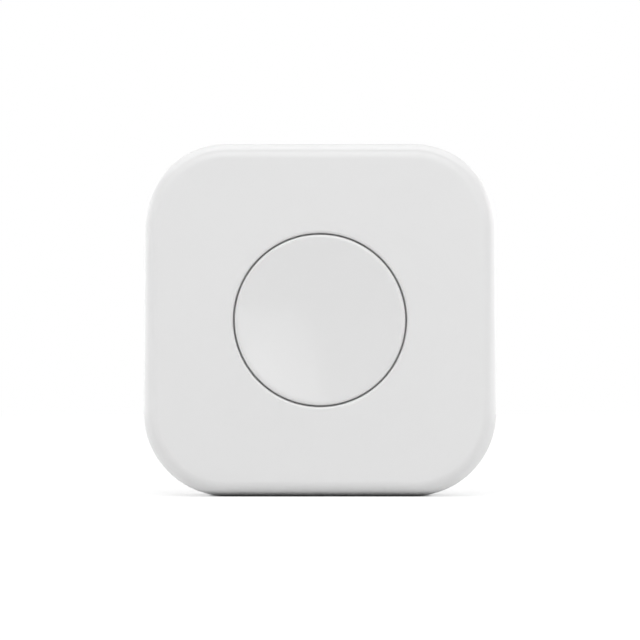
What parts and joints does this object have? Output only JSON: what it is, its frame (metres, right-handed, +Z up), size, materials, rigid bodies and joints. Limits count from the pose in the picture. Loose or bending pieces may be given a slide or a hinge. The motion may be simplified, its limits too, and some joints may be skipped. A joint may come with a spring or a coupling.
{
  "type": "smart button",
  "caption": "Square wireless smart button with rounded corners, a flush dished round press cap, a twist-off battery door behind and an adhesive wall pad.",
  "frame": {"origin": "centre of the lower edge that the casing stands on, at the middle of the overall depth", "axes": "+Z up, -Y out of the front face with the press cap, +Y out of the adhesive pad at the back, +X to the right seen from the front"},
  "size_m": [0.045, 0.0124, 0.045],
  "materials": {
    "casing": "fine matte moulded white",
    "cap": "satin white",
    "tray": "moulded off-white",
    "pad": "pale grey foam with an adhesive face",
    "steel": "nickel plated",
    "tinned": "tinned",
    "board": "satin solder mask",
    "switch_body": "matte black",
    "chip": "matte black moulding",
    "ceramic": "pale ceramic",
    "capacitor": "tan ceramic",
    "led": "clear yellowish resin",
    "contact": "gold plated spring strip",
    "gasket": "dark grey polymer",
    "chemistry": "pressed pellet"
  },
  "bodies": {
    "housing": {"front_cover": "casing", "base_plate": "casing", "battery_tray": "tray", "mounting_pad": "pad", "case_screws": "steel", "circuit_board": "board", "switch_base": "switch_body", "switch_cover": "steel", "switch_terminals": "tinned", "switch_dome": "steel", "radio_chip": "chip", "crystals": "tinned", "chip_antenna": "ceramic", "bulk_capacitor": "capacitor", "chip_passives": "capacitor", "status_led": "led", "negative_contact": "contact", "positive_contact": "contact", "cell_can": "steel", "cell_gasket": "gasket", "cell_cap": "steel", "cell_core": "chemistry"},
    "button": {"button_cap": "cap"},
    "plunger": {"switch_plunger": "switch_body"},
    "door": {"battery_door": "casing"}
  },
  "joints": [
    {"name": "button_press", "type": "slide", "parent": "housing", "child": "button", "axis": [0, 1, 0], "range_m": [0, 0.0004], "stiffness_N_per_m": 3000, "springref_m": -0.0001},
    {"name": "plunger_press", "type": "slide", "parent": "housing", "child": "plunger", "axis": [0, 1, 0], "range_m": [0, 0.0004], "deforming": ["switch_dome"]},
    {"name": "door_twist", "type": "hinge", "parent": "housing", "child": "door", "pos_m": [0, 0.0058, 0.0225], "axis": [0, 1, 0], "range_deg": [0, 40]}
  ],
  "couplings": [
    {"joint": "plunger_press", "follows": "button_press", "ratio": 1}
  ]
}
